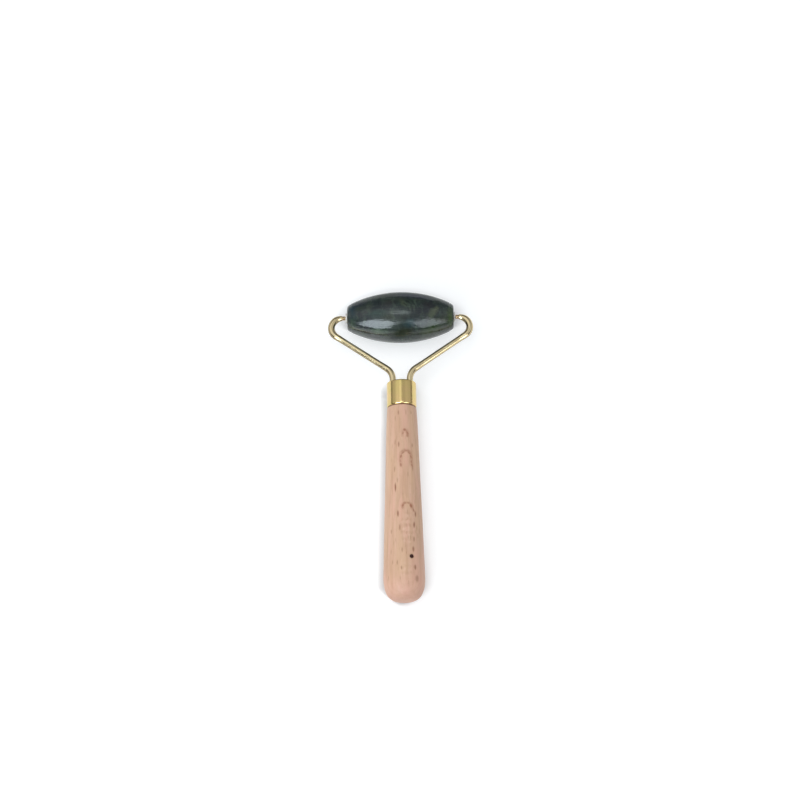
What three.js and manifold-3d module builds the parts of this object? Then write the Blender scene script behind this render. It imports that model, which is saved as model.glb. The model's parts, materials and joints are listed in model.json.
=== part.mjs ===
// Jade face roller: a barrel of polished stone that spins between the two wires of a brass fork,
// with a brass ferrule and a turned wooden handle. Millimetres, +Z up.
//
// The object lies as it does on a table: the stone's crown and the fullest part of the handle's butt
// touch z = 0. +X runs along the roller's axle, +Y from the handle to the roller head.
// The origin is the middle of the underside of the whole object's box.
//
// Every piece is drawn in the fork's own frame: origin on the axle at the middle of the stone,
// x along the axle, y along the handle's axis towards the head (so the handle is at negative y),
// and z square to the plane of the fork. One group then tips that frame down to the table.

import * as THREE from "three";
import { mergeVertices } from "three/addons/utils/BufferGeometryUtils.js";
import Module from "manifold-3d";

// ---------------------------------------------------------------- driving dimensions (mm)

// stone
const STONE_HALF_LENGTH = 21.6;
const STONE_RADIUS = 10.35; // at the crown
const STONE_ARC = 46.5; // radius of the barrel's long curve
const BEVEL_START = 19.7; // where the end bevel begins
const BEVEL_END_RADIUS = 4.05; // radius of the flat end face
const STONE_BORE_RADIUS = 1.76;

// bushes, pressed into the ends of the stone's bore
const BUSH_LENGTH = 7.0;
const BUSH_OUTER_RADIUS = 1.7;
const BUSH_BORE_RADIUS = 0.76;
const BUSH_FLANGE_RADIUS = 2.0;
const BUSH_FLANGE_THICKNESS = 0.5;

// axle pins: a thin journal in the bush, and a thicker shank set in the wire's end
const PIN_JOURNAL_RADIUS = 0.7;
const PIN_SHANK_RADIUS = 0.85;
const PIN_INNER_END = 15.4;
const PIN_SHOULDER = 22.4;
const PIN_OUTER_END = 24.6;

// fork wires
const WIRE_RADIUS = 1.21;
const LOOP_WIRE_RADIUS = 1.38; // the wire swells a little where it is bent round the loop
const SHOULDER_WIRE_RADIUS = 1.3; // and where it is bent above the ferrule
const TIP_WIRE_RADIUS = 1.1;
const WIRE_SPACING = 3.45; // from the handle's axis to each wire, where they leave the ferrule
const WIRE_FOOT = -33.6; // y of the wires' lower ends, inside the slug
const SHOULDER_BEND_RADIUS = 5.5;
const SHOULDER_BEND_START = -26.5;
const ARM_SLOPE = THREE.MathUtils.degToRad(34.7); // of the straight part, above the x direction
const LOOP_RADIUS = 4.33;
const LOOP_CENTRE_X = 23.67;
const LOOP_CENTRE_Y = -4.33;

// ferrule
const FERRULE_TOP = -28.6;
const FERRULE_BOTTOM = -38.9;
const FERRULE_RADIUS = 5.95;
const FERRULE_WALL = 0.6;
const FERRULE_ROOF = 0.8;
const FERRULE_EDGE = 0.45; // rounding of its edges

// slug inside the ferrule
const SLUG_RADIUS = 5.25;
const SLUG_TOP = -29.6;
const SLUG_BOTTOM = -34.1;
const WIRE_HOLE_RADIUS = 1.36;
const SLUG_TAP_RADIUS = 1.6;

// stud from the slug into the wood
const STUD_RADIUS = 1.5;
const STUD_TOP = -30.3;
const STUD_WOOD_RADIUS = 1.8;
const STUD_TIP = -54.0;

// handle: radius at each y, from the ferrule down to the butt
const TENON_RADIUS = 5.25;
const TENON_TOP = -34.4;
const HANDLE_TOP = -38.97;
const HANDLE_BORE_RADIUS = 2.1;
const HANDLE_BORE_END = -55.0;
const HANDLE_PROFILE = [
  [5.7, HANDLE_TOP],
  [5.86, -39.3],
  [5.97, -41.2],
  [6.12, -43.8],
  [6.22, -46.3],
  [6.32, -48.9],
  [6.42, -51.6],
  [6.56, -56.4],
  [6.69, -61.4],
  [6.84, -66.4],
  [6.99, -71.4],
  [7.16, -76.4],
  [7.33, -81.3],
  [7.5, -86.2],
  [7.64, -91.2],
  [7.78, -96.0],
  [7.92, -100.9],
  [8.05, -105.0],
  [8.12, -107.6],
  [8.14, -109.6],
  [8.06, -111.3],
  [7.84, -112.9],
  [7.45, -114.4],
  [6.85, -115.8],
  [6.0, -116.95],
  [4.85, -117.8],
  [3.4, -118.3],
  [1.7, -118.55],
  [0, -118.6],
];
const BUTT_RADIUS = 8.14;
const BUTT_Y = -109.6;

// how far the handle tips down, so that the crown and the butt both touch the table
const TIP_DOWN = Math.asin((STONE_RADIUS - BUTT_RADIUS) / -BUTT_Y);

// facets round each kind of piece
const SIDES_STONE = 48;
const SIDES_HANDLE = 36;
const SIDES_FERRULE = 36;
const SIDES_SMALL = 20;
const SIDES_WIRE = 14;
const WIRE_STEPS = 46;

// ---------------------------------------------------------------- geometry helpers

const wasm = await Module();
wasm.setup();

// A closed profile of [radius, height] turned round the y axis.
function turned(profile, sides) {
  return new THREE.LatheGeometry(
    profile.map(([r, h]) => new THREE.Vector2(r, h)),
    sides,
  );
}

// The same, turned round the x axis. side is +1 for a piece on the right and -1 for its mirror on the left.
function turnedOnAxle(profile, sides, side = 1) {
  return turned(profile, sides).rotateZ(side > 0 ? -Math.PI / 2 : Math.PI / 2);
}

// A closed tube: profile of the outside, then the inside, back to its first point.
function ring(points) {
  return [...points, points[0]];
}

function toSolid(geometry) {
  const bare = geometry.index ? geometry.toNonIndexed() : geometry.clone();
  bare.deleteAttribute("normal");
  bare.deleteAttribute("uv");
  const merged = mergeVertices(bare, 1e-4);
  return new wasm.Manifold(
    new wasm.Mesh({
      numProp: 3,
      vertProperties: new Float32Array(merged.attributes.position.array),
      triVerts: new Uint32Array(merged.index.array),
    }),
  );
}

function toGeometry(solid) {
  const mesh = solid.getMesh();
  const geometry = new THREE.BufferGeometry();
  const positions = new Float32Array(mesh.numVert * 3);
  for (let i = 0; i < mesh.numVert; i++)
    for (let k = 0; k < 3; k++)
      positions[i * 3 + k] = mesh.vertProperties[i * mesh.numProp + k];
  geometry.setAttribute("position", new THREE.BufferAttribute(positions, 3));
  geometry.setIndex(new THREE.BufferAttribute(new Uint32Array(mesh.triVerts), 1));
  const flat = geometry.toNonIndexed();
  flat.computeVertexNormals();
  return flat;
}

// A plain round cutter along y, between two heights, standing at x.
function cutter(radius, low, high, x = 0, sides = SIDES_SMALL) {
  return turned([[0, low], [radius, low], [radius, high], [0, high]], sides).translate(x, 0, 0);
}

function cut(geometry, ...cutters) {
  let solid = toSolid(geometry);
  for (const c of cutters) solid = solid.subtract(toSolid(c));
  return toGeometry(solid);
}

// A quarter round between two perpendicular edges, as profile points.
function quarter(cx, cy, radius, from, to, steps = 4) {
  const points = [];
  for (let i = 0; i <= steps; i++) {
    const a = from + ((to - from) * i) / steps;
    points.push([cx + radius * Math.cos(a), cy + radius * Math.sin(a)]);
  }
  return points;
}

// ---------------------------------------------------------------- the wire's route

// Straight up out of the slug, round the shoulder bend, straight along the arm, and round the loop
// until it points back at the stone, on the axle's line.
class ArmPath extends THREE.Curve {
  constructor(side) {
    super();
    this.side = side;
    const turn = Math.PI / 2 - ARM_SLOPE;
    const bendCentre = [WIRE_SPACING + SHOULDER_BEND_RADIUS, SHOULDER_BEND_START];
    const bendEnd = [
      bendCentre[0] - SHOULDER_BEND_RADIUS * Math.cos(turn),
      bendCentre[1] + SHOULDER_BEND_RADIUS * Math.sin(turn),
    ];
    const loopStartAngle = ARM_SLOPE - Math.PI / 2;
    const loopStart = [
      LOOP_CENTRE_X + LOOP_RADIUS * Math.cos(loopStartAngle),
      LOOP_CENTRE_Y + LOOP_RADIUS * Math.sin(loopStartAngle),
    ];
    this.parts = [
      { length: SHOULDER_BEND_START - WIRE_FOOT, at: (s) => [WIRE_SPACING, WIRE_FOOT + s] },
      {
        length: SHOULDER_BEND_RADIUS * turn,
        at: (s) => {
          const a = Math.PI - s / SHOULDER_BEND_RADIUS;
          return [
            bendCentre[0] + SHOULDER_BEND_RADIUS * Math.cos(a),
            bendCentre[1] + SHOULDER_BEND_RADIUS * Math.sin(a),
          ];
        },
      },
      {
        length: Math.hypot(loopStart[0] - bendEnd[0], loopStart[1] - bendEnd[1]),
        at: (s, l) => [
          bendEnd[0] + ((loopStart[0] - bendEnd[0]) * s) / l,
          bendEnd[1] + ((loopStart[1] - bendEnd[1]) * s) / l,
        ],
      },
      {
        length: LOOP_RADIUS * (Math.PI / 2 - loopStartAngle),
        at: (s) => {
          const a = loopStartAngle + s / LOOP_RADIUS;
          return [LOOP_CENTRE_X + LOOP_RADIUS * Math.cos(a), LOOP_CENTRE_Y + LOOP_RADIUS * Math.sin(a)];
        },
      },
    ];
    this.total = this.parts.reduce((sum, p) => sum + p.length, 0);
  }

  getPoint(t, target = new THREE.Vector3()) {
    let s = t * this.total;
    for (const [i, p] of this.parts.entries()) {
      if (s <= p.length || i === this.parts.length - 1) {
        const [x, y] = p.at(Math.min(s, p.length), p.length);
        return target.set(this.side * x, y, 0);
      }
      s -= p.length;
    }
    return target;
  }
}

// The wire's radius at a distance s along its route.
function wireRadius(path, s) {
  const [foot, shoulder, arm, loop] = path.parts.map((p) => p.length);
  const smooth = (a, b, v) => THREE.MathUtils.smoothstep(v, a, b);
  let r = WIRE_RADIUS;
  r += (SHOULDER_WIRE_RADIUS - WIRE_RADIUS) * smooth(foot - 2, foot + 1.5, s) * (1 - smooth(foot + shoulder, foot + shoulder + 4, s));
  r += (LOOP_WIRE_RADIUS - WIRE_RADIUS) * smooth(foot + shoulder + arm - 4, foot + shoulder + arm + 2, s);
  r += (TIP_WIRE_RADIUS - LOOP_WIRE_RADIUS) * smooth(foot + shoulder + arm + loop - 3.2, path.total - 0.2, s);
  return r;
}

function armGeometry(side) {
  const path = new ArmPath(side);
  const section = new THREE.Shape();
  for (let i = 0; i < SIDES_WIRE; i++) {
    const a = ((i + 0.5) * 2 * Math.PI) / SIDES_WIRE;
    section[i ? "lineTo" : "moveTo"](WIRE_RADIUS * Math.cos(a), WIRE_RADIUS * Math.sin(a));
  }
  section.closePath();
  const wire = new THREE.ExtrudeGeometry(section, {
    steps: WIRE_STEPS,
    bevelEnabled: false,
    extrudePath: path,
  });
  // swell each section about its own centre
  const centres = path.getSpacedPoints(WIRE_STEPS);
  const position = wire.attributes.position;
  const v = new THREE.Vector3();
  for (let i = 0; i < position.count; i++) {
    v.fromBufferAttribute(position, i);
    let best = 0;
    for (let k = 1; k < centres.length; k++)
      if (v.distanceToSquared(centres[k]) < v.distanceToSquared(centres[best])) best = k;
    const scale = wireRadius(path, (best / WIRE_STEPS) * path.total) / WIRE_RADIUS;
    v.sub(centres[best]).multiplyScalar(scale).add(centres[best]);
    position.setXYZ(i, v.x, v.y, v.z);
  }
  // the socket in the wire's end, for the pin's shank
  const socket = turnedOnAxle(
    [[0, 22.5], [PIN_SHANK_RADIUS + 0.1, 22.5], [PIN_SHANK_RADIUS + 0.1, PIN_OUTER_END + 0.1], [0, PIN_OUTER_END + 0.1]],
    SIDES_SMALL,
    side,
  );
  return cut(wire, socket);
}

// ---------------------------------------------------------------- the pieces

// Barrel stone: long arc between the bevels, a bevel with softened corners, a flat end, and a bore right through.
function stoneGeometry() {
  const arc = (x) => STONE_RADIUS - STONE_ARC + Math.sqrt(STONE_ARC ** 2 - x ** 2);
  const half = [];
  for (const x of [0, 3.5, 7, 10.3, 13.4, 16.1, 18.2, BEVEL_START - 0.35]) half.push([arc(x), x]);
  half.push([arc(BEVEL_START) - 0.22, BEVEL_START + 0.3]);
  half.push([BEVEL_END_RADIUS + 0.75, STONE_HALF_LENGTH - 0.55]);
  half.push([BEVEL_END_RADIUS + 0.3, STONE_HALF_LENGTH - 0.14]);
  half.push([BEVEL_END_RADIUS - 0.35, STONE_HALF_LENGTH]);
  half.push([STONE_BORE_RADIUS, STONE_HALF_LENGTH]);
  const mirrored = half
    .slice(1)
    .reverse()
    .map(([r, x]) => [r, -x]);
  return turnedOnAxle(ring([...mirrored, ...half]), SIDES_STONE);
}

function bushGeometry(side) {
  const face = STONE_HALF_LENGTH + 0.05;
  const inner = STONE_HALF_LENGTH - BUSH_LENGTH;
  return turnedOnAxle(
    ring([
      [BUSH_BORE_RADIUS, inner],
      [BUSH_OUTER_RADIUS - 0.2, inner],
      [BUSH_OUTER_RADIUS, inner + 0.3],
      [BUSH_OUTER_RADIUS, face],
      [BUSH_FLANGE_RADIUS, face],
      [BUSH_FLANGE_RADIUS, face + BUSH_FLANGE_THICKNESS - 0.15],
      [BUSH_FLANGE_RADIUS - 0.15, face + BUSH_FLANGE_THICKNESS],
      [BUSH_BORE_RADIUS + 0.1, face + BUSH_FLANGE_THICKNESS],
      [BUSH_BORE_RADIUS, face + BUSH_FLANGE_THICKNESS - 0.1],
    ]),
    SIDES_SMALL,
    side,
  );
}

function pinGeometry(side) {
  return turnedOnAxle(
    [
      [0, PIN_INNER_END],
      [PIN_JOURNAL_RADIUS - 0.2, PIN_INNER_END],
      [PIN_JOURNAL_RADIUS, PIN_INNER_END + 0.3],
      [PIN_JOURNAL_RADIUS, PIN_SHOULDER],
      [PIN_SHANK_RADIUS, PIN_SHOULDER],
      [PIN_SHANK_RADIUS, PIN_OUTER_END - 0.15],
      [PIN_SHANK_RADIUS - 0.15, PIN_OUTER_END],
      [0, PIN_OUTER_END],
    ],
    SIDES_SMALL,
    side,
  );
}

// Ferrule: a drawn cup with rounded edges, open below, with two round holes in its roof.
function ferruleGeometry() {
  const inner = FERRULE_RADIUS - FERRULE_WALL;
  const lip = 0.22;
  const profile = [
    ...quarter(FERRULE_RADIUS - FERRULE_EDGE, FERRULE_BOTTOM + FERRULE_EDGE, FERRULE_EDGE, -Math.PI / 2, 0),
    ...quarter(FERRULE_RADIUS - FERRULE_EDGE, FERRULE_TOP - FERRULE_EDGE, FERRULE_EDGE, 0, Math.PI / 2),
    [0, FERRULE_TOP],
    [0, FERRULE_TOP - FERRULE_ROOF],
    [inner - 0.25, FERRULE_TOP - FERRULE_ROOF],
    [inner, FERRULE_TOP - FERRULE_ROOF - 0.25],
    [inner, FERRULE_BOTTOM + lip],
    [inner + 0.1, FERRULE_BOTTOM],
  ];
  return cut(
    turned(ring(profile), SIDES_FERRULE),
    cutter(WIRE_HOLE_RADIUS, FERRULE_TOP - 2, FERRULE_TOP + 1, WIRE_SPACING),
    cutter(WIRE_HOLE_RADIUS, FERRULE_TOP - 2, FERRULE_TOP + 1, -WIRE_SPACING),
  );
}

// Slug: holds both wires' feet, and is tapped from below for the stud.
function slugGeometry() {
  return cut(
    turned(
      [
        [0, SLUG_BOTTOM],
        [SLUG_RADIUS - 0.3, SLUG_BOTTOM],
        [SLUG_RADIUS, SLUG_BOTTOM + 0.3],
        [SLUG_RADIUS, SLUG_TOP - 0.4],
        [SLUG_RADIUS - 0.4, SLUG_TOP],
        [0, SLUG_TOP],
      ],
      SIDES_FERRULE,
    ),
    cutter(WIRE_HOLE_RADIUS, WIRE_FOOT - 0.15, SLUG_TOP + 1, WIRE_SPACING),
    cutter(WIRE_HOLE_RADIUS, WIRE_FOOT - 0.15, SLUG_TOP + 1, -WIRE_SPACING),
    cutter(SLUG_TAP_RADIUS, SLUG_BOTTOM - 1, STUD_TOP + 0.3),
  );
}

// Stud: machine end above, thicker wood end below that runs out to a blunt point.
function studGeometry() {
  return turned(
    [
      [0, STUD_TIP],
      [0.5, STUD_TIP],
      [1.3, STUD_TIP + 4],
      [STUD_WOOD_RADIUS, STUD_TIP + 9],
      [STUD_WOOD_RADIUS, SLUG_BOTTOM - 1.5],
      [STUD_RADIUS, SLUG_BOTTOM - 0.5],
      [STUD_RADIUS, STUD_TOP - 0.4],
      [STUD_RADIUS - 0.4, STUD_TOP],
      [0, STUD_TOP],
    ],
    SIDES_SMALL,
  );
}

// Handle: tapered turning with a domed butt, a tenon at the top and a blind pilot hole for the stud.
function handleGeometry() {
  const outside = [...HANDLE_PROFILE].reverse();
  return turned(
    [
      ...outside,
      [TENON_RADIUS, HANDLE_TOP],
      [TENON_RADIUS, TENON_TOP - 0.3],
      [TENON_RADIUS - 0.3, TENON_TOP],
      [HANDLE_BORE_RADIUS, TENON_TOP],
      [HANDLE_BORE_RADIUS, HANDLE_BORE_END + 1],
      [0, HANDLE_BORE_END],
    ],
    SIDES_HANDLE,
  );
}

// ---------------------------------------------------------------- materials

const paint = (color, roughness, metalness) =>
  new THREE.MeshStandardMaterial({ color, roughness, metalness });

const beech = paint(0xd6ad95, 0.55, 0);
const polishedBrass = paint(0xd9bd7c, 0.16, 1);
const wireBrass = paint(0xdcc188, 0.18, 1);
const plainBrass = paint(0xc4a462, 0.35, 1);
const steel = paint(0xb9b4aa, 0.3, 1);
const nylon = paint(0xefe6d3, 0.5, 0);
const jade = paint(0x3a4742, 0.12, 0);

// ---------------------------------------------------------------- assembly

const roller = new THREE.Group();
const fork = new THREE.Group(); // the fork's own frame, tipped down to the table
fork.rotation.x = TIP_DOWN;
roller.add(fork);

function add(name, geometry, material) {
  const mesh = new THREE.Mesh(geometry, material);
  mesh.name = name;
  fork.add(mesh);
  return mesh;
}

add("wooden_handle", handleGeometry(), beech);
add("ferrule", ferruleGeometry(), polishedBrass);
add("fork_socket", slugGeometry(), plainBrass);
add("hanger_stud", studGeometry(), steel);
add("left_fork_arm", armGeometry(-1), wireBrass);
add("right_fork_arm", armGeometry(1), wireBrass);
add("left_axle_pin", pinGeometry(-1), wireBrass);
add("right_axle_pin", pinGeometry(1), wireBrass);
add("left_bush", bushGeometry(-1), nylon);
add("right_bush", bushGeometry(1), nylon);
add("jade_roller", stoneGeometry(), jade);

// stand the tipped object on z = 0, with the origin under the middle of its box
fork.updateMatrixWorld(true);
const box = new THREE.Box3();
for (const mesh of fork.children) {
  const p = mesh.geometry.attributes.position;
  const v = new THREE.Vector3();
  for (let i = 0; i < p.count; i++)
    box.expandByPoint(v.fromBufferAttribute(p, i).applyMatrix4(mesh.matrixWorld));
}
fork.position.set(
  -(box.min.x + box.max.x) / 2,
  -(box.min.y + box.max.y) / 2,
  -box.min.z,
);

export default roller;
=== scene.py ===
"""Looks of the jade face roller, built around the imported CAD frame. Metres, +Z up, +X along the axle, +Y towards the head."""

import json
import math

import bmesh
import bpy
from mathutils import Matrix, Vector, noise


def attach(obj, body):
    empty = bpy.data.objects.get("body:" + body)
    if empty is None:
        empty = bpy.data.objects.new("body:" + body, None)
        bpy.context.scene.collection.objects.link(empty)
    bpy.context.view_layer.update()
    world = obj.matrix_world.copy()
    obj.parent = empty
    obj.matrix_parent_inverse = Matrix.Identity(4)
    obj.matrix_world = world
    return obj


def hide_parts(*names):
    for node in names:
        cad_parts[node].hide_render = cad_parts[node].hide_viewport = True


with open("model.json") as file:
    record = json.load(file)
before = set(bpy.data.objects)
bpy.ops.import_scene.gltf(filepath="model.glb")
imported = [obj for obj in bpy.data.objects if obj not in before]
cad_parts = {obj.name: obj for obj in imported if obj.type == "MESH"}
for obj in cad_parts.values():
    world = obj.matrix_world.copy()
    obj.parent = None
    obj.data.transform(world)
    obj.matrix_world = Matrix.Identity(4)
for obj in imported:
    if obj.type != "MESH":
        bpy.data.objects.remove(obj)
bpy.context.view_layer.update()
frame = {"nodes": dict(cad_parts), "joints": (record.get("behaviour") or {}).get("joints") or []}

# ---------------------------------------------------------------- the fork's own frame
# origin on the axle at the middle of the stone, x along the axle, y along the handle towards the head,
# tipped down to the table. Dimensions below are millimetres in that frame, and repeat the CAD's.
AXLE = Vector(frame["joints"][0]["pos_m"])
TIP_DOWN = math.asin((10.35 - 8.14) / 109.6)
MM = 0.001
FORK = Matrix.Translation(AXLE) @ Matrix.Rotation(TIP_DOWN, 4, "X")

HANDLE_TOP = -38.97


# ---------------------------------------------------------------- mesh helpers


def new_object(name, bm, smooth=True, sharp_deg=None):
    mesh = bpy.data.meshes.new(name)
    bmesh.ops.recalc_face_normals(bm, faces=bm.faces)
    bm.transform(FORK)
    bm.to_mesh(mesh)
    bm.free()
    for p in mesh.polygons:
        p.use_smooth = smooth
    if sharp_deg:
        mesh.set_sharp_from_angle(angle=math.radians(sharp_deg))
    obj = bpy.data.objects.new(name, mesh)
    bpy.context.scene.collection.objects.link(obj)
    return obj


def fillet(cx, cy, r, a0, a1, n):
    """Points of an arc, angles in degrees."""
    return [
        (
            cx + r * math.cos(math.radians(a0 + (a1 - a0) * i / n)),
            cy + r * math.sin(math.radians(a0 + (a1 - a0) * i / n)),
        )
        for i in range(n + 1)
    ]


def subdivide(profile, longest):
    """The same line with no step longer than this."""
    out = [profile[0]]
    for (r0, h0), (r1, h1) in zip(profile, profile[1:]):
        n = max(1, math.ceil(math.hypot(r1 - r0, h1 - h0) / longest))
        for i in range(1, n + 1):
            out.append((r0 + (r1 - r0) * i / n, h0 + (h1 - h0) * i / n))
    return out


def soften(profile, radius, steps=4, corners=None):
    """Rounds each corner of a polyline of (r, h) with about this radius."""
    out = [profile[0]]
    for i in range(1, len(profile) - 1):
        p, a, b = Vector(profile[i]), Vector(profile[i - 1]), Vector(profile[i + 1])
        u, v = (a - p), (b - p)
        lu, lv = u.length, v.length
        if lu < 1e-9 or lv < 1e-9 or (corners is not None and i not in corners):
            out.append(tuple(p))
            continue
        u, v = u / lu, v / lv
        turn = math.pi - math.acos(max(-1, min(1, u.dot(v))))
        if turn < 0.15:
            out.append(tuple(p))
            continue
        d = min(radius * math.tan(turn / 2), 0.45 * lu, 0.45 * lv)
        p0, p1 = p + u * d, p + v * d
        for k in range(steps + 1):
            t = k / steps
            q = p0 * (1 - t) ** 2 + p * 2 * t * (1 - t) + p1 * t**2
            out.append(tuple(q))
    out.append(profile[-1])
    return out


def lathe(name, profile, axis, sides, closed=False, shape=None, sharp_deg=None):
    """Turns (radius, height) points round x or y. A closed profile is a ring, and an open one starts and ends on the axis.
    shape(x, y, z), in mm, may move a point. Heights run along the axis. Gives a UV of (arc length round, length along) in cm."""
    bm = bmesh.new()
    uv = bm.loops.layers.uv.new("turned")
    rings = []
    lengths = [0.0]
    for a, b in zip(profile, profile[1:]):
        lengths.append(lengths[-1] + math.hypot(b[0] - a[0], b[1] - a[1]))
    for r, h in profile:
        ring = []
        count = 1 if r < 1e-6 else sides
        for k in range(count):
            a = 2 * math.pi * k / sides
            if axis == "y":
                p = Vector((r * math.sin(a), h, r * math.cos(a)))
            else:
                p = Vector((h, r * math.sin(a), r * math.cos(a)))
            if shape:
                p = shape(p)
            ring.append(bm.verts.new(p * MM))
        rings.append(ring)
    pairs = list(zip(range(len(rings)), range(1, len(rings))))
    if closed:
        pairs.append((len(rings) - 1, 0))
        lengths.append(
            lengths[-1]
            + math.hypot(
                profile[0][0] - profile[-1][0], profile[0][1] - profile[-1][1]
            )
        )
    around = 2 * math.pi * max(r for r, _ in profile)
    for n, (i, j) in enumerate(pairs):
        a, b = rings[i], rings[j]
        for k in range(sides):
            k2 = (k + 1) % sides
            if len(a) == 1 and len(b) == 1:
                continue
            if len(a) == 1:
                corners = [(a[0], k + 0.5, 0), (b[k], k, 1), (b[k2], k + 1, 1)]
            elif len(b) == 1:
                corners = [(a[k], k, 0), (b[0], k + 0.5, 1), (a[k2], k + 1, 0)]
            else:
                corners = [
                    (a[k], k, 0),
                    (b[k], k, 1),
                    (b[k2], k + 1, 1),
                    (a[k2], k + 1, 0),
                ]
            face = bm.faces.new([c[0] for c in corners])
            for loop, (_, kk, end) in zip(face.loops, corners):
                loop[uv].uv = (kk / sides * around * 0.1, lengths[n + end] * 0.1)
    return new_object(name, bm, sharp_deg=sharp_deg)


def through(points, per_span):
    """A smooth line through the points (Catmull-Rom with chord lengths)."""
    out = []
    n = len(points)
    for i in range(n - 1):
        p0 = Vector(points[max(i - 1, 0)])
        p1, p2 = Vector(points[i]), Vector(points[i + 1])
        p3 = Vector(points[min(i + 2, n - 1)])
        d1 = max((p1 - p0).length, 1e-6) if i > 0 else (p2 - p1).length
        d2 = (p2 - p1).length
        d3 = max((p3 - p2).length, 1e-6) if i < n - 2 else d2
        m1 = ((p1 - p0) / d1 * d2 + (p2 - p1)) * (d1 / (d1 + d2)) if i > 0 else p2 - p1
        m1 = (
            (p1 - p0) / d1 * (d2 / (d1 + d2)) + (p2 - p1) / d2 * (d1 / (d1 + d2))
            if i > 0
            else (p2 - p1) / d2
        )
        m2 = (
            (p2 - p1) / d2 * (d3 / (d2 + d3)) + (p3 - p2) / d3 * (d2 / (d2 + d3))
            if i < n - 2
            else (p2 - p1) / d2
        )
        for k in range(per_span):
            t = k / per_span
            h00 = 2 * t**3 - 3 * t**2 + 1
            h10 = t**3 - 2 * t**2 + t
            h01 = -2 * t**3 + 3 * t**2
            h11 = t**3 - t**2
            out.append(tuple(p1 * h00 + m1 * d2 * h10 + p2 * h01 + m2 * d2 * h11))
    out.append(tuple(points[-1]))
    return out


# ---------------------------------------------------------------- the pieces' shapes


def make_stone():
    """Barrel with a bevelled band at each end, a softly rounded rim, a flat end and a bore right through.
    Hand polishing leaves it a few hundredths of a millimetre uneven."""
    arc = lambda x: 10.35 - 46.5 + math.sqrt(46.5**2 - x**2)
    half = [(arc(x * 19.55 / 26), x * 19.55 / 26) for x in range(27)]
    edge = (arc(19.7), 19.7)
    rim = (4.95, 21.36)
    half += [
        (edge[0] - 0.01, 19.68),
        (edge[0] - 0.05, 19.76),
        (edge[0] - 0.12, 19.84),
        (edge[0] - 0.35, 20.04),
    ]
    half += [
        (edge[0] + (rim[0] - edge[0]) * t, 19.86 + (21.22 - 19.86) * t)
        for t in (0.4, 0.62, 0.82)
    ]
    half += [
        (4.86, 21.33),
        (4.62, 21.44),
        (4.3, 21.52),
        (3.9, 21.575),
        (3.4, 21.597),
        (2.9, 21.6),
        (2.3, 21.6),
        (1.92, 21.6),
        (1.82, 21.57),
        (1.77, 21.49),
        (1.76, 21.3),
        (1.76, 18.0),
        (1.76, 10.0),
    ]
    ring = [(r, -x) for r, x in reversed(half[1:])] + half

    def shape(p):
        r = math.hypot(p.y, p.z)
        if r < 3.0:
            return p
        fade = min(1.0, (r - 3.0) / 1.5)
        n = noise.fractal(Vector((p.x * 0.11, p.y * 0.16, p.z * 0.16)) + Vector((3.1, 7.7, 1.3)), 0.6, 2.0, 3)
        move = -0.035 * fade * (0.5 + 0.5 * max(-1, min(1, n * 1.6)))
        # the crown and the box stay put: it only ever moves inwards
        s = 1 + move / r
        return Vector((p.x, p.y * s, p.z * s))

    return lathe("jade_stone", ring, "x", 224, closed=True, shape=shape)


HANDLE_LINE = [
    (5.86, -39.3), (5.97, -41.2), (6.12, -43.8), (6.22, -46.3), (6.32, -48.9), (6.42, -51.6), (6.56, -56.4),
    (6.69, -61.4), (6.84, -66.4), (6.99, -71.4), (7.16, -76.4), (7.33, -81.3), (7.5, -86.2), (7.64, -91.2),
    (7.78, -96.0), (7.92, -100.9), (8.05, -105.0), (8.12, -107.6), (8.14, -109.6), (8.06, -111.3), (7.84, -112.9),
    (7.45, -114.4), (6.85, -115.8), (6.0, -116.95), (4.85, -117.8), (3.4, -118.3), (1.7, -118.55), (0.0, -118.6),
]
KNOT = Vector((3.02, -102.5, 7.372))  # the little dark knot, on the handle's surface
# the larger flecks on the upper face: place, half lengths, strength
FLECKS = [
    ((-1.5, -42.9), (0.30, 1.3), 0.6), ((3.6, -42.6), (0.42, 1.4), 0.8), ((-2.9, -55.4), (0.3, 1.6), 0.5),
    ((-1.4, -56.3), (0.3, 1.4), 0.7), ((3.9, -56.5), (0.34, 1.3), 0.75), ((-3.2, -66.6), (0.27, 1.6), 0.5),
    ((3.9, -66.1), (0.29, 1.6), 0.55), ((-3.0, -74.2), (0.34, 2.3), 1.0), ((-2.1, -71.4), (0.25, 1.3), 0.4),
    ((5.3, -74.0), (0.3, 1.8), 0.5), ((-2.1, -85.2), (0.37, 1.7), 0.95), ((4.7, -85.1), (0.36, 1.6), 0.9),
    ((4.1, -89.5), (0.36, 1.6), 0.9), ((-1.5, -90.9), (0.34, 1.7), 0.65), ((-4.8, -92.2), (0.25, 1.2), 0.45),
    ((4.0, -95.5), (0.3, 1.3), 0.6), ((-0.7, -100.0), (0.3, 1.4), 0.6), ((3.7, -99.6), (0.42, 1.5), 0.8),
    ((-2.6, -105.0), (0.3, 1.3), 0.55), ((-1.0, -107.2), (0.39, 1.1), 0.75), ((4.3, -106.8), (0.39, 1.3), 0.8),
    ((-1.6, -111.3), (0.3, 1.2), 0.4), ((4.9, -111.3), (0.6, 1.8), 0.65), ((-5.0, -52.2), (0.25, 1.4), 0.35),
    ((-4.4, -62.5), (0.25, 1.6), 0.35), ((-5.8, -85.3), (0.25, 1.6), 0.35), ((1.0, -101.2), (0.25, 1.0), 0.35),
    ((1.7, -94.8), (0.25, 1.1), 0.35), ((-4.5, -104.7), (0.25, 1.2), 0.35),
]

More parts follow.
